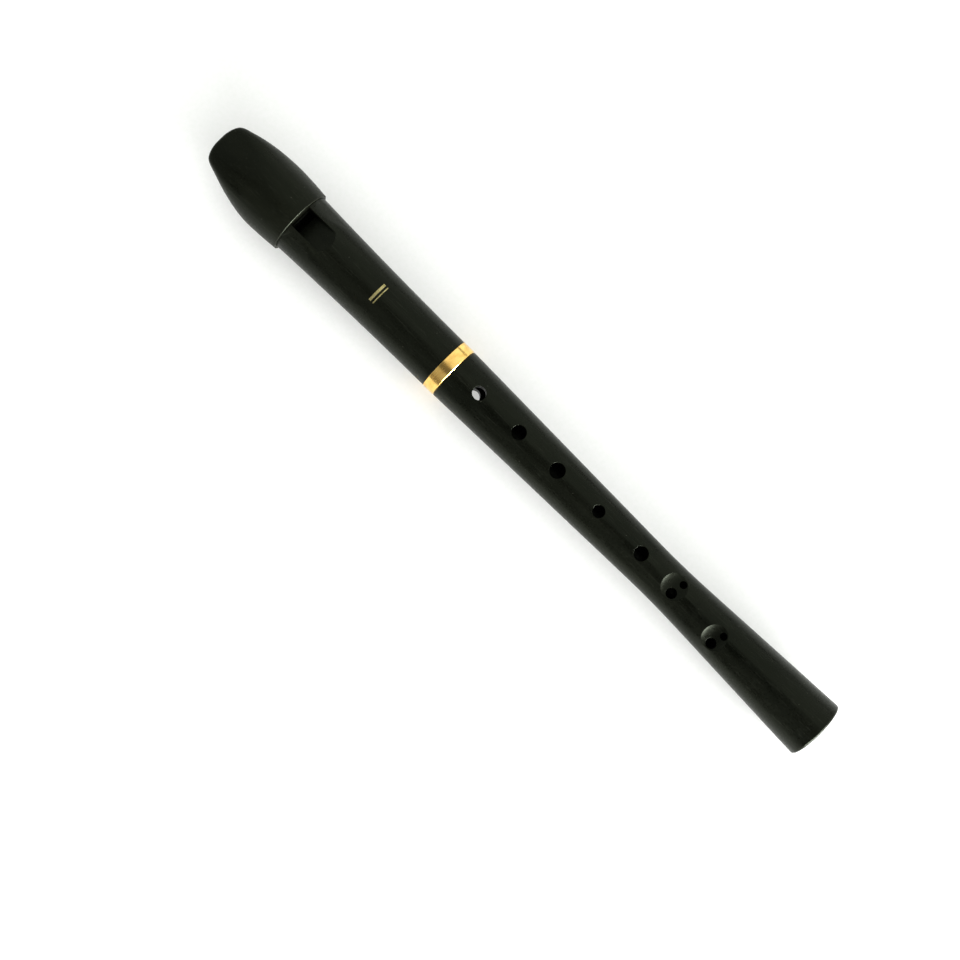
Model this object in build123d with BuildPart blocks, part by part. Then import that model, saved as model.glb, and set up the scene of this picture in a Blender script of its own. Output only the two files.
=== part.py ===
from build123d import *

import os
from math import copysign, cos, pi, radians, sin, sqrt, tan

os.makedirs("parts", exist_ok=True)

# A two-piece soprano recorder moulded in ABS, lying on its back with the finger holes up.
# Sizes are millimetres. A station is a distance from the mouth tip along the bore axis, which
# runs along +X towards the foot. An angle turns about that axis, from +Z towards +Y.

# Mouthpiece cap
cap_length = 43.1
cap_max_diameter = 29.8
cap_max_station = 29.0
cap_rim_diameter = 28.2
cap_rim_chamfer = 0.25
tip_width = 16.4
tip_top_height = 10.4  # above the bore axis
tip_bottom_height = 3.6  # above the bore axis
tip_flat_width = 6.0  # in plan, across the middle of the tip
tip_round_depth = 3.2  # in plan, how far back the tip's rounding reaches
tip_round_exponent = 2.2  # 2 would round the tip in plan as an ellipse
tip_edge_radius = 1.4  # in side view
tip_squareness = 3.6  # superellipse exponent of the tip's section, 2 is an ellipse

# Windway, block and window
windway_entry_gap = 1.6
windway_exit_gap = 1.1
window_width = 9.9
window_length = 3.8  # windway exit to labium edge
ramp_angle = 22.0
labium_edge_thickness = 0.3
labium_above_floor = 0.35
labium_above_bore = 0.25
undercut_flat_length = 3.5
undercut_length = 14.0
tongue_start = 1.6  # the shell's lower lip hides the block's front end
tongue_front_height = 0.9
tongue_back_depth = 3.0  # below the bore axis, where the tongue joins the plug
block_reach = 0.7  # past the cap's rim, as a small step below the window
block_exit_chamfer = 0.4
moulding_gap = 0.03  # between pieces pressed and cemented together

# Head tube
head_length = 126.9  # mouth tip to the socket's face
head_bore_diameter = 13.2
head_top_diameter = 26.0
head_middle_diameter = 24.0
head_middle_station = 78.0
spigot_start = 24.0
spigot_diameter = 22.4
spigot_chamfer = 0.4

# Ferrule ring, on a seat turned outside the socket
ring_width = 5.5
ring_wall = 1.0
ring_above_head = 0.075
ring_above_body = 0.125
ring_foot_bevel = 0.4
ring_head_bevel = 0.15
ring_running_gap = 0.05

# Tenon and socket
tenon_diameter = 16.9
tenon_length = 20.0
tenon_running_gap = 0.05
tenon_end_gap = 0.6
tenon_chamfer = 0.5
socket_wall = 2.075  # under the ring
grease_groove_width = 1.0
grease_groove_depth = 0.3
grease_groove_places = (6.0, 13.0)  # from the shoulder

# Body and foot
body_length = 196.5  # shoulder to the foot's end face
shoulder_chamfer = 0.25
waist_from_foot = 80.0
waist_diameter = 18.1  # where the two straight flanks would meet
waist_blend_radius = 400.0
foot_diameter = 25.6
foot_edge_radius = 1.0
body_bore_top_diameter = 12.4
body_bore_foot_diameter = 9.6
foot_bore_diameter = 10.4
foot_bore_length = 14.0
foot_bore_chamfer = 0.5

# Finger holes: distance from the shoulder, angle, diameter
single_holes = (
    (13.0, 0.0, 5.6),
    (34.4, 0.0, 5.9),
    (55.1, 0.0, 6.3),
    (77.3, 0.0, 5.1),
    (100.2, 0.0, 5.9),
)
thumb_hole = (11.2, 180.0, 5.6)

# Double holes: distance from the shoulder, angle of the pair, then how far the large and the
# small hole stand off that line, and how much nearer the foot the small one lies
double_holes = (
    (119.1, 0.0, -2.55, 3.0, 1.2),
    (143.3, -19.5, -2.7, 2.7, 1.5),
)
large_hole_diameter = 4.3
small_hole_diameter = 3.0
dish_radius = 9.0
dish_depth = 1.45
dish_lead = 1.1  # the dish lies this much nearer the head

# Worked out from the sizes above
overall_length = head_length + body_length
head_bore_radius = head_bore_diameter / 2
labium_bottom = head_bore_radius + labium_above_bore
labium_top = labium_bottom + labium_edge_thickness
windway_floor_exit = labium_bottom - labium_above_floor
windway_roof = windway_floor_exit + windway_exit_gap
windway_floor_entry = windway_roof - windway_entry_gap
block_exit_station = cap_length + block_reach
labium_station = cap_length + window_length
ring_station = head_length - ring_width
socket_radius = tenon_diameter / 2 + tenon_running_gap
ring_seat_radius = socket_radius + socket_wall
ring_radius = ring_seat_radius + ring_wall
head_end_radius = ring_radius - ring_above_head
shoulder_radius = ring_radius - ring_above_body
socket_floor_station = head_length - tenon_length - tenon_end_gap
tenon_station = head_length - tenon_length
foot_bore_station = overall_length - foot_bore_length
axis_height = max(cap_max_diameter, cap_rim_diameter, foot_diameter, 2 * ring_radius) / 2
outside = 2 * axis_height  # a height that clears every piece


def lengthwise(angle=0.0):
    """The plane through the bore axis, local X the station and local Y the radius at that angle."""
    return Plane(
        origin=(-overall_length / 2, 0, axis_height),
        x_dir=(1, 0, 0),
        z_dir=(0, -cos(radians(angle)), sin(radians(angle))),
    )


def across(station):
    """The plane across the bore at a station, local X to +Y and local Y up."""
    return Plane(origin=(station - overall_length / 2, 0, axis_height), x_dir=(0, 1, 0), z_dir=(1, 0, 0))


def radial(station, angle):
    """The plane that holes are drilled from: outside the tube, facing out at that angle."""
    outward = Vector(0, sin(radians(angle)), cos(radians(angle)))
    centre = across(station).origin + outward * outside
    return Plane(origin=centre, x_dir=(1, 0, 0), z_dir=outward)


bore_axis = Axis((0, 0, axis_height), (1, 0, 0))


# Mouthpiece cap: a beak flattened at the tip that grows into a round barrel
def edge_loss(station):
    """How far the tip's rounded edges stand back from the flat top and bottom at a station."""
    reach = max(0.0, 1 - station / tip_edge_radius)
    return tip_edge_radius * (1 - sqrt(1 - reach**2))


def width_share(station):
    """Share of the beak's width that the rounding of the tip in plan leaves at a station."""
    power = tip_round_exponent
    reach_at_flat = (1 - (tip_flat_width / tip_width) ** power) ** (1 / power)
    reach = reach_at_flat * max(0.0, 1 - station / tip_round_depth)
    return (1 - reach**power) ** (1 / power)


def cap_section(station):
    """Half width, top, bottom and squareness of the cap at a station."""
    barrel_radius = cap_max_diameter / 2
    if station > cap_max_station:
        past = (station - cap_max_station) / (cap_length - cap_max_station)
        radius = barrel_radius - (cap_max_diameter - cap_rim_diameter) / 2 * past**1.5
        return radius, radius, -radius, 2.0
    swell = sin(pi / 2 * station / cap_max_station)
    scoop = (1 - cos(pi * station / cap_max_station)) / 2
    half_width = tip_width / 2 + (barrel_radius - tip_width / 2) * swell
    top = tip_top_height + (barrel_radius - tip_top_height) * swell
    bottom = tip_bottom_height - (barrel_radius + tip_bottom_height) * scoop
    squareness = tip_squareness - (tip_squareness - 2) * swell
    loss = edge_loss(station)
    return half_width * width_share(station), top - loss, bottom + loss, squareness


def superellipse(half_width, top, bottom, squareness, count=16):
    """Points round a closed section, with the exponent that sets how square it is."""
    points = []
    for index in range(count):
        turn = 2 * pi * index / count
        across_share = copysign(abs(cos(turn)) ** (2 / squareness), cos(turn))
        up_share = copysign(abs(sin(turn)) ** (2 / squareness), sin(turn))
        middle = (top + bottom) / 2
        points.append((half_width * across_share, middle + (top - bottom) / 2 * up_share))
    return points


tip_stations = [tip_round_depth * share for share in (0.0, 0.02, 0.07, 0.17, 0.35, 0.62, 1.0)]
beak_length = cap_max_station - tip_round_depth
beak_stations = [tip_round_depth + beak_length * index / 8 for index in range(1, 9)]
barrel_length = cap_length - cap_max_station
barrel_stations = [cap_max_station + barrel_length * index / 4 for index in range(1, 5)]
cap_stations = tip_stations + beak_stations + barrel_stations
rib_width = window_width - 2 * moulding_gap

with BuildPart() as mouthpiece_cap:
    for place in cap_stations:
        with BuildSketch(across(place)):
            with BuildLine():
                Spline(*superellipse(*cap_section(place)), periodic=True)
            make_face()
    loft()
    rim_edge = mouthpiece_cap.faces().sort_by(Axis.X)[-1].edges()
    chamfer(rim_edge, cap_rim_chamfer)
    # the hollow that the head tube's spigot fills, all but the rib that roofs the windway
    with BuildSketch(across(spigot_start)):
        Circle(spigot_diameter / 2 + moulding_gap)
        with Locations((0, windway_roof)):
            Rectangle(
                rib_width, outside, align=(Align.CENTER, Align.MIN), mode=Mode.SUBTRACT
            )
    extrude(amount=cap_length - spigot_start, mode=Mode.SUBTRACT)
    # the windway, open at the tip, and the hollow below it that the block's tongue fills
    with BuildSketch(lengthwise()):
        with BuildLine():
            Polyline(
                (-1, windway_roof),
                (spigot_start, windway_roof),
                (spigot_start, -tongue_back_depth - moulding_gap),
                (tongue_start, windway_floor_entry - tongue_front_height - moulding_gap),
                (tongue_start, windway_floor_entry),
                (-1, windway_floor_entry),
                close=True,
            )
        make_face()
    extrude(amount=window_width / 2, both=True, mode=Mode.SUBTRACT)
mouthpiece_cap.part.label = "mouthpiece_cap"
export_step(mouthpiece_cap.part, "parts/mouthpiece_cap.step")


# Windway block: a plug in the head bore, a key in the spigot's slot and a tongue in the beak
with BuildPart() as windway_block:
    with BuildSketch(across(spigot_start)):
        Circle(head_bore_radius - moulding_gap)
    extrude(amount=block_exit_station - spigot_start)
    with BuildSketch(lengthwise()):
        with BuildLine():
            Polyline(
                (tongue_start, windway_floor_entry),
                (block_exit_station, windway_floor_exit),
                (block_exit_station, 0),
                (spigot_start, 0),
                (spigot_start, -tongue_back_depth),
                (tongue_start, windway_floor_entry - tongue_front_height),
                close=True,
            )
        make_face()
    extrude(amount=rib_width / 2, both=True)
    # nothing stands above the windway's floor, and the exit edge is chamfered
    with BuildSketch(lengthwise()):
        with BuildLine():
            Polyline(
                (tongue_start, windway_floor_entry),
                (block_exit_station - block_exit_chamfer, windway_floor_exit),
                (block_exit_station, windway_floor_exit - block_exit_chamfer),
                (block_exit_station, outside),
                (tongue_start, outside),
                close=True,
            )
        make_face()
    extrude(amount=outside, both=True, mode=Mode.SUBTRACT)
windway_block.part.label = "windway_block"
export_step(windway_block.part, "parts/windway_block.step")


# Head tube: spigot, window with its ramp, tapering barrel, ring seat and socket
with BuildPart() as head_tube:
    with BuildSketch(lengthwise()):
        with BuildLine():
            Polyline(
                (ring_station, head_end_radius),
                (ring_station, ring_seat_radius),
                (head_length, ring_seat_radius),
                (head_length, socket_radius + tenon_chamfer),
                (head_length - tenon_chamfer, socket_radius),
                (socket_floor_station, socket_radius),
                (socket_floor_station, head_bore_radius),
                (spigot_start, head_bore_radius),
                (spigot_start, spigot_diameter / 2 - spigot_chamfer),
                (spigot_start + spigot_chamfer, spigot_diameter / 2),
                (cap_length, spigot_diameter / 2),
                (cap_length, head_top_diameter / 2),
            )
            ThreePointArc(
                (cap_length, head_top_diameter / 2),
                (head_middle_station, head_middle_diameter / 2),
                (ring_station, head_end_radius),
            )
        make_face()
    revolve(axis=bore_axis)
    # slot for the block's key and the cap's rib, running on as the window
    with BuildSketch(lengthwise()):
        with BuildLine():
            Polyline(
                (spigot_start, 0),
                (spigot_start, outside),
                (labium_station, outside),
                (labium_station, 0),
                close=True,
            )
        make_face()
    extrude(amount=window_width / 2, both=True, mode=Mode.SUBTRACT)
    # ramp from the labium edge up to the tube's surface
    with BuildSketch(lengthwise()):
        ramp_run = (outside - labium_top) / tan(radians(ramp_angle))
        with BuildLine():
            Polyline(
                (labium_station, labium_top),
                (labium_station + ramp_run, outside),
                (labium_station, outside),
                close=True,
            )
        make_face()
    extrude(amount=window_width / 2, both=True, mode=Mode.SUBTRACT)
    # flat under the labium, running out into the round bore
    with BuildSketch(lengthwise()):
        run_out = sqrt(head_bore_radius**2 - (window_width / 2) ** 2)
        with BuildLine():
            Polyline(
                (labium_station, 0),
                (labium_station, labium_bottom),
                (labium_station + undercut_flat_length, labium_bottom),
                (labium_station + undercut_length, run_out),
                (labium_station + undercut_length, 0),
                close=True,
            )
        make_face()
    extrude(amount=window_width / 2, both=True, mode=Mode.SUBTRACT)
head_tube.part.label = "head_tube"
export_step(head_tube.part, "parts/head_tube.step")


# Ferrule ring: polished, with a broad bevel towards the foot
with BuildPart() as ferrule_ring:
    with BuildSketch(lengthwise()):
        with BuildLine():
            Polyline(
                (ring_station, ring_seat_radius + ring_running_gap),
                (ring_station, ring_radius - ring_head_bevel),
                (ring_station + ring_head_bevel, ring_radius),
                (head_length - ring_foot_bevel, ring_radius),
                (head_length, ring_radius - ring_foot_bevel),
                (head_length, ring_seat_radius + ring_running_gap),
                close=True,
            )
        make_face()
    revolve(axis=bore_axis)
ferrule_ring.part.label = "ferrule_ring"
export_step(ferrule_ring.part, "parts/ferrule_ring.step")


# Body tube: tenon, tapered bore, finger and thumb holes, and the flared foot in one piece
def drill(distance, angle, diameter, offset=0.0):
    """A hole from outside to the bore, at a distance from the shoulder, offset to the side of its line."""
    line = radial(head_length + distance, angle)
    beside = Plane(origin=line.from_local_coords((0, offset, 0)), x_dir=line.x_dir, z_dir=line.z_dir)
    with Locations(beside):
        Hole(radius=diameter / 2, depth=outside)


def outer_radius(distance):
    """Radius of the body's two straight flanks at a distance from the shoulder."""
    past_waist = distance - (body_length - waist_from_foot)
    if past_waist > 0:
        share = past_waist / waist_from_foot
        return (waist_diameter + (foot_diameter - waist_diameter) * share) / 2
    share = -past_waist / (body_length - waist_from_foot)
    return waist_diameter / 2 + (shoulder_radius - waist_diameter / 2) * share


with BuildPart() as body_tube:
    with BuildSketch(lengthwise()):
        with BuildLine():
            FilletPolyline(
                (head_length + shoulder_chamfer, shoulder_radius),
                (overall_length - waist_from_foot, waist_diameter / 2),
                (overall_length, foot_diameter / 2),
                (overall_length, foot_bore_diameter / 2 + foot_bore_chamfer),
                radius=(waist_blend_radius, foot_edge_radius),
            )
            Polyline(
                (overall_length, foot_bore_diameter / 2 + foot_bore_chamfer),
                (overall_length - foot_bore_chamfer, foot_bore_diameter / 2),
                (foot_bore_station, foot_bore_diameter / 2),
                (foot_bore_station, body_bore_foot_diameter / 2),
                (tenon_station, body_bore_top_diameter / 2),
                (tenon_station, tenon_diameter / 2 - tenon_chamfer),
                (tenon_station + tenon_chamfer, tenon_diameter / 2),
                (head_length, tenon_diameter / 2),
                (head_length, shoulder_radius - shoulder_chamfer),
                (head_length + shoulder_chamfer, shoulder_radius),
            )
        make_face()
        for place in grease_groove_places:
            with Locations((head_length - place, tenon_diameter / 2)):
                Rectangle(grease_groove_width, 2 * grease_groove_depth, mode=Mode.SUBTRACT)
    revolve(axis=bore_axis)
    # each pair lies in a round finger dish: a cylinder across the tube, sunk below its surface
    for distance, angle, large_offset, small_offset, small_lag in double_holes:
        dish_distance = distance - dish_lead
        with BuildSketch(lengthwise(angle)):
            dish_height = outer_radius(dish_distance) - dish_depth + dish_radius
            with Locations((head_length + dish_distance, dish_height)):
                Circle(dish_radius)
        extrude(amount=outside, both=True, mode=Mode.SUBTRACT)
    for hole in single_holes + (thumb_hole,):
        drill(*hole)
    for distance, angle, large_offset, small_offset, small_lag in double_holes:
        drill(distance, angle, large_hole_diameter, large_offset)
        drill(distance + small_lag, angle, small_hole_diameter, small_offset)
body_tube.part.label = "body_tube"
export_step(body_tube.part, "parts/body_tube.step")
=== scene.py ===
from math import atan2, pi, radians

import bpy
from mathutils import Matrix, Vector


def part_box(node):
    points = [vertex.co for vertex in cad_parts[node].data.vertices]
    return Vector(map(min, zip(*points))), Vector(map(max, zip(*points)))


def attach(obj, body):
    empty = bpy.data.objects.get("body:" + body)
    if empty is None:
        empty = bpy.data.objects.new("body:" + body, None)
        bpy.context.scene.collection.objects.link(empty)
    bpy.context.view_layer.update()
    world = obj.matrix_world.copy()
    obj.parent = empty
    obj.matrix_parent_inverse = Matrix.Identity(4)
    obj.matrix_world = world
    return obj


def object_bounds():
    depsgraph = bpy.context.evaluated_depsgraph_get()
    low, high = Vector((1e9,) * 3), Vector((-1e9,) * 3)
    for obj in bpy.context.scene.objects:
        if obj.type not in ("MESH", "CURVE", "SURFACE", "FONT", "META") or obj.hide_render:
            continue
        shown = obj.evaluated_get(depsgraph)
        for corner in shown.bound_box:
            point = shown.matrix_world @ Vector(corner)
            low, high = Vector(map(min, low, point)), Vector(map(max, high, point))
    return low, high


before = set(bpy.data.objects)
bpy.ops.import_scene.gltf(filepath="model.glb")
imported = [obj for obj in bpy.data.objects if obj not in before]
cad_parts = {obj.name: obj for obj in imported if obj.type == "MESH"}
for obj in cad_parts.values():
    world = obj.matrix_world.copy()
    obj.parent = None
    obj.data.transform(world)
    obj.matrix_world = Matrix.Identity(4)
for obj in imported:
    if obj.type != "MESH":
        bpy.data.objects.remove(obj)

cad_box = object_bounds()

MM = 0.001
low = cad_box[0]
ring_low, ring_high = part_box("ferrule_ring")
cap_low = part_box("mouthpiece_cap")[0]
foot_low, foot_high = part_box("body_tube")
axis_height = (ring_low[2] + ring_high[2]) / 2


def station(distance):
    """The X of a place that lies that many millimetres from the mouth tip."""
    return low[0] + distance * MM


# ---------------------------------------------------------------- material tools
def colour(code):
    """Linear RGBA of an sRGB hex code."""
    channels = [int(code[i : i + 2], 16) / 255 for i in (1, 3, 5)]
    linear = [c / 12.92 if c <= 0.04045 else ((c + 0.055) / 1.055) ** 2.4 for c in channels]
    return (*linear, 1.0)


def sizes(x, y, z):
    """The scale that gives a texture features of those lengths in millimetres."""
    return (1 / (x * MM), 1 / (y * MM), 1 / (z * MM))


def add(tree, kind, settings):
    """Adds a node. Each setting is a property of it, or a socket by name or number, with the value to
    give it or the output to link to it."""
    node = tree.nodes.new(kind)
    for name, value in settings.items():
        if isinstance(name, str) and name not in node.inputs:
            setattr(node, name, value)
        elif isinstance(value, bpy.types.NodeSocket):
            tree.links.new(value, node.inputs[name])
        else:
            node.inputs[name].default_value = value
    return node


def material(name):
    """An empty material: it, its tree, its Principled shader and Object coordinates about the bore."""
    made = bpy.data.materials.new(name)
    made.use_nodes = True
    tree = made.node_tree
    tree.nodes.clear()
    shader = add(tree, "ShaderNodeBsdfPrincipled", {})
    add(tree, "ShaderNodeOutputMaterial", {"Surface": shader.outputs["BSDF"]})
    place = add(tree, "ShaderNodeTexCoord", {}).outputs["Object"]
    centred = add(tree, "ShaderNodeMapping", {"Vector": place, "Location": (0, 0, -axis_height)})
    return made, tree, shader, centred.outputs[0]


# ---------------------------------------------------------------- materials
def moulded_abs(name, deep, light, roughness, edge_radius, grip):
    """Black ABS, injection moulded in a satin tool and then handled: a soft, slightly uneven sheen with
    long flow marks, a parting line down each side, rubbed patches where it is held, hairlines and dust."""
    made, tree, shader, centred = material(name)
    shader.inputs["IOR"].default_value = 1.5
    # mirrors less than the shader's default, and a touch green
    shader.inputs["Specular IOR Level"].default_value = 0.21
    shader.inputs["Specular Tint"].default_value = colour("#F3FFE4")

    # the melt's long soft flow marks shade the black a little
    flow = add(tree, "ShaderNodeMapping", {"Vector": centred, "Scale": sizes(45, 9, 9)}).outputs[0]
    flow = add(tree, "ShaderNodeTexNoise", {
        "Vector": flow, "Scale": 1.0, "Detail": 3.0, "Distortion": 0.6,
    }).outputs[0]
    flow = add(tree, "ShaderNodeMapRange", {"Value": flow, "From Min": 0.32, "From Max": 0.68}).outputs[0]
    base = add(tree, "ShaderNodeMix", {"data_type": "RGBA", 0: flow, 6: deep, 7: light}).outputs[2]

    # fingers and lips polish the upper side, in patches
    across = add(tree, "ShaderNodeSeparateXYZ", {"Vector": centred}).outputs
    upper = add(tree, "ShaderNodeMapRange", {
        "Value": across["Z"], "From Min": 4 * MM, "From Max": 10 * MM,
    }).outputs[0]
    past = add(tree, "ShaderNodeMath", {
        "operation": "GREATER_THAN", 0: across["X"], 1: grip[0],
    }).outputs[0]
    before = add(tree, "ShaderNodeMath", {
        "operation": "LESS_THAN", 0: across["X"], 1: grip[1],
    }).outputs[0]
    held = add(tree, "ShaderNodeMath", {"operation": "MULTIPLY", 0: past, 1: before}).outputs[0]
    held = add(tree, "ShaderNodeMath", {"operation": "MULTIPLY", 0: upper, 1: held}).outputs[0]
    rubbed = add(tree, "ShaderNodeMapping", {"Vector": centred, "Scale": sizes(14, 11, 11)}).outputs[0]
    rubbed = add(tree, "ShaderNodeTexNoise", {"Vector": rubbed, "Scale": 1.0, "Detail": 2.0}).outputs[0]
    rubbed = add(tree, "ShaderNodeMapRange", {
        "Value": rubbed, "From Min": 0.45, "From Max": 0.65,
    }).outputs[0]
    rubbed = add(tree, "ShaderNodeMath", {"operation": "MULTIPLY", 0: rubbed, 1: held}).outputs[0]

    # satin grain of the tool, drawn at seven tenths of a millimetre so that it shows
    grain = add(tree, "ShaderNodeMapping", {"Vector": centred, "Scale": sizes(0.7, 0.7, 0.7)}).outputs[0]
    grain = add(tree, "ShaderNodeTexNoise", {"Vector": grain, "Scale": 1.0, "Detail": 4.0}).outputs[0]
    # hairlines from its bag, mostly along the tube
    hairs = add(tree, "ShaderNodeMapping", {"Vector": centred, "Scale": sizes(16, 0.28, 0.28)}).outputs[0]
    hairs = add(tree, "ShaderNodeTexNoise", {
        "Vector": hairs, "Scale": 1.0, "Detail": 1.0, "Distortion": 0.8,
    }).outputs[0]
    hairs = add(tree, "ShaderNodeMapRange", {"Value": hairs, "From Min": 0.63, "From Max": 0.70}).outputs[0]

    rough = add(tree, "ShaderNodeMapRange", {
        "Value": grain, "From Min": 0.3, "From Max": 0.7,
        "To Min": roughness - 0.10, "To Max": roughness + 0.10,
    }).outputs[0]
    rough = add(tree, "ShaderNodeMath", {
        "operation": "MULTIPLY_ADD", 0: rubbed, 1: -0.10, 2: rough,
    }).outputs[0]
    rough = add(tree, "ShaderNodeMath", {
        "operation": "MULTIPLY_ADD", 0: hairs, 1: 0.10, 2: rough,
    }).outputs[0]
    tree.links.new(rough, shader.inputs["Roughness"])

    # dust and lint: a few specks, up to a third of a millimetre across
    cells = add(tree, "ShaderNodeTexVoronoi", {"Vector": centred, "Scale": 1 / (2.6 * MM)}).outputs
    chosen = add(tree, "ShaderNodeSeparateColor", {"Color": cells["Color"]}).outputs["Red"]
    chosen = add(tree, "ShaderNodeMath", {"operation": "GREATER_THAN", 0: chosen, 1: 0.62}).outputs[0]
    speck = add(tree, "ShaderNodeMapRange", {
        "Value": cells["Distance"], "From Min": 0.035, "From Max": 0.065, "To Min": 0.45, "To Max": 0.0,
    }).outputs[0]
    speck = add(tree, "ShaderNodeMath", {"operation": "MULTIPLY", 0: speck, 1: chosen}).outputs[0]
    base = add(tree, "ShaderNodeMix", {
        "data_type": "RGBA", 0: speck, 6: base, 7: colour("#77776C"),
    }).outputs[2]
    pale = add(tree, "ShaderNodeMath", {"operation": "MULTIPLY", 0: hairs, 1: 0.35}).outputs[0]
    base = add(tree, "ShaderNodeMix", {
        "data_type": "RGBA", 0: pale, 6: base, 7: colour("#2C2D27"),
    }).outputs[2]

    # parting line of the two mould halves: at the height of the bore, along both sides and across the ends
    seam = add(tree, "ShaderNodeMath", {"operation": "ABSOLUTE", 0: across["Z"]}).outputs[0]
    seam = add(tree, "ShaderNodeMapRange", {
        "Value": seam, "From Min": 0.03 * MM, "From Max": 0.10 * MM, "To Min": 1.0, "To Max": 0.0,
    }).outputs[0]
    pale = add(tree, "ShaderNodeMath", {"operation": "MULTIPLY", 0: seam, 1: 0.5}).outputs[0]
    base = add(tree, "ShaderNodeMix", {
        "data_type": "RGBA", 0: pale, 6: base, 7: colour("#2A2B26"),
    }).outputs[2]
    tree.links.new(base, shader.inputs["Base Color"])

    # edges broken by the tool and by use
    rounded = add(tree, "ShaderNodeBevel", {"samples": 6, "Radius": edge_radius * MM}).outputs[0]
    height = add(tree, "ShaderNodeMath", {
        "operation": "MULTIPLY_ADD", 0: grain, 1: 0.35, 2: seam,
    }).outputs[0]
    height = add(tree, "ShaderNodeMath", {
        "operation": "MULTIPLY_ADD", 0: hairs, 1: -0.25, 2: height,
    }).outputs[0]
    bump = add(tree, "ShaderNodeBump", {
        "Height": height, "Normal": rounded, "Strength": 0.5, "Distance": 0.06 * MM,
    }).outputs[0]
    tree.links.new(bump, shader.inputs["Normal"])
    return made


def plated_brass(name):
    """Gold-plated brass, turned and polished on the lathe: a sharp warm mirror with faint rings around it,
    fine scratches and a trace of tarnish."""
    made, tree, shader, centred = material(name)
    shader.inputs["Metallic"].default_value = 1.0
    turned = add(tree, "ShaderNodeMapping", {"Vector": centred, "Scale": sizes(0.16, 30, 30)}).outputs[0]
    turned = add(tree, "ShaderNodeTexNoise", {"Vector": turned, "Scale": 1.0, "Detail": 2.0}).outputs[0]
    scratches = add(tree, "ShaderNodeMapping", {"Vector": centred, "Scale": sizes(0.22, 5, 5)}).outputs[0]
    scratches = add(tree, "ShaderNodeTexNoise", {
        "Vector": scratches, "Scale": 1.0, "Detail": 1.0, "Distortion": 0.5,
    }).outputs[0]
    scratches = add(tree, "ShaderNodeMapRange", {
        "Value": scratches, "From Min": 0.64, "From Max": 0.72,
    }).outputs[0]
    tarnish = add(tree, "ShaderNodeMapping", {"Vector": centred, "Scale": sizes(2.2, 3.5, 3.5)}).outputs[0]
    tarnish = add(tree, "ShaderNodeTexNoise", {"Vector": tarnish, "Scale": 1.0, "Detail": 4.0}).outputs[0]

    warm = add(tree, "ShaderNodeMapRange", {
        "Value": tarnish, "From Min": 0.42, "From Max": 0.72, "To Min": 0.0, "To Max": 0.55,
    }).outputs[0]
    shade = add(tree, "ShaderNodeMix", {
        "data_type": "RGBA", 0: warm, 6: colour("#FBD483"), 7: colour("#D0A052"),
    }).outputs[2]
    pale = add(tree, "ShaderNodeMath", {"operation": "MULTIPLY", 0: scratches, 1: 0.35}).outputs[0]
    shade = add(tree, "ShaderNodeMix", {
        "data_type": "RGBA", 0: pale, 6: shade, 7: colour("#C9A869"),
    }).outputs[2]
    tree.links.new(shade, shader.inputs["Base Color"])

    rough = add(tree, "ShaderNodeMapRange", {
        "Value": turned, "From Min": 0.3, "From Max": 0.7, "To Min": 0.13, "To Max": 0.21,
    }).outputs[0]
    dulled = add(tree, "ShaderNodeMapRange", {
        "Value": tarnish, "From Min": 0.45, "From Max": 0.75, "To Min": 0.0, "To Max": 0.12,
    }).outputs[0]
    rough = add(tree, "ShaderNodeMath", {"operation": "ADD", 0: rough, 1: dulled}).outputs[0]
    rough = add(tree, "ShaderNodeMath", {
        "operation": "MULTIPLY_ADD", 0: scratches, 1: 0.12, 2: rough,
    }).outputs[0]
    tree.links.new(rough, shader.inputs["Roughness"])

    rounded = add(tree, "ShaderNodeBevel", {"samples": 6, "Radius": 0.15 * MM}).outputs[0]
    height = add(tree, "ShaderNodeMath", {
        "operation": "MULTIPLY_ADD", 0: scratches, 1: -0.6, 2: turned,
    }).outputs[0]
    bump = add(tree, "ShaderNodeBump", {
        "Height": height, "Normal": rounded, "Strength": 0.08, "Distance": 0.01 * MM,
    }).outputs[0]
    tree.links.new(bump, shader.inputs["Normal"])
    return made


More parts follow.
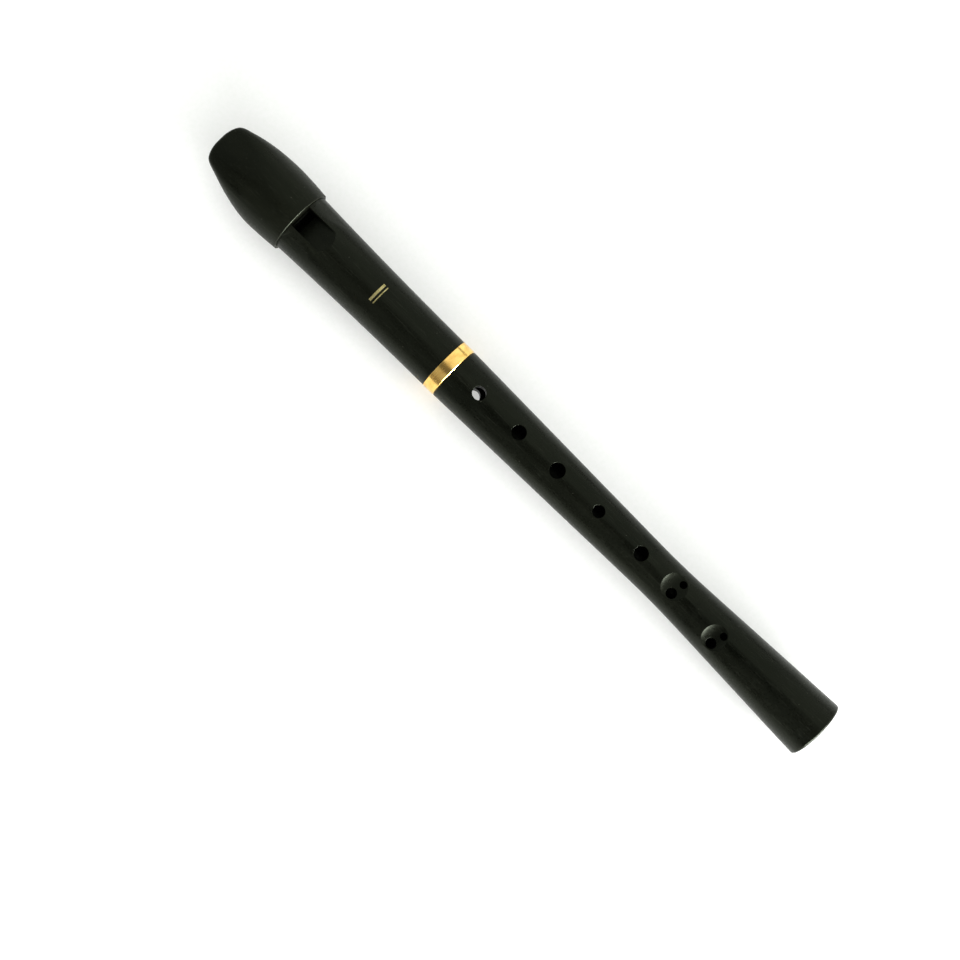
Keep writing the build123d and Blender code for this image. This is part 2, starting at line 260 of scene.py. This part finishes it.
def stamped_foil(name):
    """Gold foil, hot stamped and worn: a dull metal with specks where the black beneath shows."""
    made, tree, shader, centred = material(name)
    worn = add(tree, "ShaderNodeMapping", {"Vector": centred, "Scale": sizes(0.35, 0.35, 0.35)}).outputs[0]
    worn = add(tree, "ShaderNodeTexNoise", {"Vector": worn, "Scale": 1.0, "Detail": 4.0}).outputs[0]
    gone = add(tree, "ShaderNodeMapRange", {"Value": worn, "From Min": 0.60, "From Max": 0.68}).outputs[0]
    mottle = add(tree, "ShaderNodeMapping", {"Vector": centred, "Scale": sizes(1.4, 1.4, 1.4)}).outputs[0]
    mottle = add(tree, "ShaderNodeTexNoise", {"Vector": mottle, "Scale": 1.0, "Detail": 2.0}).outputs[0]
    mottle = add(tree, "ShaderNodeMapRange", {
        "Value": mottle, "From Min": 0.35, "From Max": 0.65,
    }).outputs[0]
    foil = add(tree, "ShaderNodeMix", {
        "data_type": "RGBA", 0: mottle, 6: colour("#BDB384"), 7: colour("#978E60"),
    }).outputs[2]
    foil = add(tree, "ShaderNodeMix", {
        "data_type": "RGBA", 0: gone, 6: foil, 7: colour("#14150F"),
    }).outputs[2]
    tree.links.new(foil, shader.inputs["Base Color"])
    metal = add(tree, "ShaderNodeMapRange", {"Value": gone, "To Min": 0.9, "To Max": 0.0}).outputs[0]
    tree.links.new(metal, shader.inputs["Metallic"])
    rough = add(tree, "ShaderNodeMapRange", {
        "Value": worn, "From Min": 0.3, "From Max": 0.7, "To Min": 0.34, "To Max": 0.48,
    }).outputs[0]
    tree.links.new(rough, shader.inputs["Roughness"])
    bump = add(tree, "ShaderNodeBump", {"Height": worn, "Strength": 0.3, "Distance": 0.01 * MM}).outputs[0]
    tree.links.new(bump, shader.inputs["Normal"])
    return made


def painted_board(name):
    """White painted board: matt, with a faint roller texture."""
    made, tree, shader, centred = material(name)
    stipple = add(tree, "ShaderNodeMapping", {"Vector": centred, "Scale": sizes(1.6, 1.6, 1.6)}).outputs[0]
    stipple = add(tree, "ShaderNodeTexNoise", {"Vector": stipple, "Scale": 1.0, "Detail": 3.0}).outputs[0]
    tint = add(tree, "ShaderNodeMapRange", {"Value": stipple, "From Min": 0.3, "From Max": 0.7}).outputs[0]
    tint = add(tree, "ShaderNodeMix", {
        "data_type": "RGBA", 0: tint, 6: colour("#F7F8F6"), 7: colour("#FBFBFA"),
    }).outputs[2]
    tree.links.new(tint, shader.inputs["Base Color"])
    shader.inputs["Roughness"].default_value = 0.6
    bump = add(tree, "ShaderNodeBump", {
        "Height": stipple, "Strength": 0.1, "Distance": 0.05 * MM,
    }).outputs[0]
    tree.links.new(bump, shader.inputs["Normal"])
    return made


body_black = moulded_abs(
    "moulded_black_abs", colour("#060704"), colour("#10110C"), 0.34, 0.35, (station(128), station(300))
)
cap_black = moulded_abs(
    "moulded_black_abs_cap", colour("#070804"), colour("#11120C"), 0.40, 0.25, (station(-1), station(22))
)
# the windway block: the same black ABS as the body, but its colour painted lighter, a painted highlight
# that makes its exit edge show as a bright line deep in the window, where the lamps hardly reach
block_black_painted_highlight = moulded_abs(
    "moulded_black_abs_block_painted_highlight", colour("#0E0F0B"), colour("#181914"), 0.30, 0.2, (station(-1), station(5))
)
ring_gold = plated_brass("gold_plated_brass")
mark_gold = stamped_foil("hot_stamped_gold_foil")


def dress(node, finish):
    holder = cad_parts[node]
    holder.data.materials.clear()
    holder.data.materials.append(finish)


dress("mouthpiece_cap", cap_black)
dress("windway_block", block_black_painted_highlight)
dress("head_tube", body_black)
dress("body_tube", body_black)
dress("ferrule_ring", ring_gold)


# ---------------------------------------------------------------- foil mark on the head
# a plain double line across the tube, a broad one and a fine one nearer the foot
mark_place = (station(85.0), 0, axis_height + 20 * MM)
line_length = 8.4 * MM
broad_line, fine_line = 1.1 * MM, 0.45 * MM
fine_place = (mark_place[0] + 1.7 * MM, 0, mark_place[2])
strip_width = 0.25 * MM
strips_each_side = 17

bpy.ops.object.select_all(action="DESELECT")
bpy.ops.mesh.primitive_plane_add(size=1.0, location=mark_place)
mark = bpy.context.object
mark.name = "foil_mark"
bpy.ops.object.transform_apply(location=True, rotation=True, scale=True)
bpy.ops.object.mode_set(mode="EDIT")
bpy.ops.mesh.select_all(action="SELECT")
bpy.ops.transform.resize(value=(broad_line, line_length, 1.0), center_override=mark_place)
bpy.ops.mesh.select_all(action="DESELECT")
bpy.ops.mesh.primitive_plane_add(size=1.0, location=fine_place)
bpy.ops.transform.resize(value=(fine_line, line_length, 1.0), center_override=fine_place)
# cut in narrow strips along the tube, so that the foil can wrap round it
for cut in range(-strips_each_side, strips_each_side):
    bpy.ops.mesh.select_all(action="SELECT")
    bpy.ops.mesh.bisect(plane_co=(0, (cut + 0.5) * strip_width, 0), plane_no=(0, 1, 0))
bpy.ops.object.mode_set(mode="OBJECT")

wrap = mark.modifiers.new("wrap", "SHRINKWRAP")
wrap.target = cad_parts["head_tube"]
wrap.wrap_method = "PROJECT"
wrap.use_project_z = True
wrap.use_negative_direction = True
wrap.use_positive_direction = False
wrap.offset = 0.02 * MM
leaf = mark.modifiers.new("leaf", "SOLIDIFY")
leaf.thickness = 0.03 * MM
leaf.offset = 1.0
for modifier in ("wrap", "leaf"):
    bpy.ops.object.modifier_apply(modifier=modifier)
mark.data.materials.append(mark_gold)
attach(mark, "head")


# ---------------------------------------------------------------- floor
# the recorder rests on the cap's underside and on the foot, so the floor leans by their difference
floor_size = 12.0
rest_x = station(29)  # the cap's fullest place
floor_z = cap_low[2] - 0.05 * MM
lean = atan2(foot_low[2] - cap_low[2], foot_high[0] - rest_x)
bpy.ops.object.select_all(action="DESELECT")
bpy.ops.mesh.primitive_plane_add(
    size=floor_size, location=(rest_x, 0, floor_z), rotation=(0, -lean, 0)
)
floor = bpy.context.object
floor.name = "floor"
floor.data.materials.append(painted_board("white_painted_board"))


# ---------------------------------------------------------------- light
def grey(level):
    """Soft daylight of that brightness, a touch green."""
    return (0.985 * level, 1.0 * level, 0.975 * level, 1.0)


# brightness of the room round the tube, by the angle from straight up towards +Y in degrees: brighter
# on the +Y side, dark overhead, and with a narrow dark bar low on the +Y side
room = (
    (-90, 0.30),
    (-72, 0.22),
    (-66, 0.38),
    (-34, 0.50),
    (-27, 0.16),
    (-4, 0.16),
    (3, 0.88),
    (80, 1.10),
    (83, 0.12),
    (87, 0.12),
    (90, 0.80),
)
# and along the tube, from its mouth end at -1 to its foot end at 1
towards_window = ((-1.0, 0.75), (-0.5, 0.62), (0.4, 0.68), (0.9, 1.05), (1.0, 1.3))
world = bpy.data.worlds.new("studio")
bpy.context.scene.world = world
world.use_nodes = True
sky = world.node_tree
direction = add(sky, "ShaderNodeTexCoord", {}).outputs["Generated"]
parts = add(sky, "ShaderNodeSeparateXYZ", {"Vector": direction}).outputs
turn = add(sky, "ShaderNodeMath", {"operation": "ARCTAN2", 0: parts["Y"], 1: parts["Z"]}).outputs[0]
round_share = add(sky, "ShaderNodeMapRange", {"Value": turn, "From Min": -pi, "From Max": pi}).outputs[0]
# towards the ends of the tube the bands give way to a room that brightens towards the window
ends_share = add(sky, "ShaderNodeMapRange", {"Value": parts["X"], "From Min": -1.0}).outputs[0]
round_stops = [((angle + 180) / 360, level) for angle, level in room]
ends_stops = [((x + 1) / 2, level) for x, level in towards_window]
shades = []
for share, stops in ((round_share, round_stops), (ends_share, ends_stops)):
    ramp = add(sky, "ShaderNodeValToRGB", {"Fac": share})
    for _ in stops[2:]:
        ramp.color_ramp.elements.new(0.5)
    for element, (place, level) in zip(ramp.color_ramp.elements, stops):
        element.position = place
        element.color = grey(level)
    shades.append(ramp.outputs["Color"])
end_on = add(sky, "ShaderNodeMath", {"operation": "ABSOLUTE", 0: parts["X"]}).outputs[0]
end_on = add(sky, "ShaderNodeMapRange", {"Value": end_on, "From Min": 0.3, "From Max": 0.7}).outputs[0]
light_from_room = add(sky, "ShaderNodeMix", {
    "data_type": "RGBA", 0: end_on, 6: shades[0], 7: shades[1],
}).outputs[2]
sky.links.new(light_from_room, sky.nodes["Background"].inputs["Color"])
sky.nodes["Background"].inputs["Strength"].default_value = 1.0


def softbox(name, direction, distance, width, height, power):
    """An area light in that direction from the frame's origin, facing it."""
    data = bpy.data.lights.new(name, "AREA")
    data.shape = "RECTANGLE"
    data.size = width
    data.size_y = height
    data.energy = power
    lamp = bpy.data.objects.new(name, data)
    bpy.context.scene.collection.objects.link(lamp)
    lamp.location = Vector(direction).normalized() * distance
    lamp.rotation_euler = (-lamp.location).to_track_quat("-Z", "Y").to_euler()


# a wide window low beyond the foot
softbox("window", (0.95, -0.20, 0.16), distance=2.6, width=3.2, height=0.8, power=330)


# ---------------------------------------------------------------- camera
# almost overhead, turned so that the recorder lies slantwise in view
camera_place = Vector((0.0152, -0.1027, axis_height + 0.72665))
camera_target = Vector((0.0016, -0.0224, axis_height))
picture_turn = radians(44.64)
lens = bpy.data.cameras.new("camera")
lens.sensor_width = 36.0
lens.lens = 70.91
camera = bpy.data.objects.new("camera", lens)
bpy.context.scene.collection.objects.link(camera)
forward = (camera_target - camera_place).normalized()
along = (Vector((1, 0, 0)) - forward * forward.x).normalized()
right = Matrix.Rotation(picture_turn, 3, -forward) @ along
up = right.cross(forward)
camera.matrix_world = Matrix((
    (right.x, up.x, -forward.x, camera_place.x),
    (right.y, up.y, -forward.y, camera_place.y),
    (right.z, up.z, -forward.z, camera_place.z),
    (0, 0, 0, 1),
))
bpy.context.scene.camera = camera
bpy.context.scene.view_settings.view_transform = "Standard"
bpy.context.scene.view_settings.look = "Medium High Contrast"
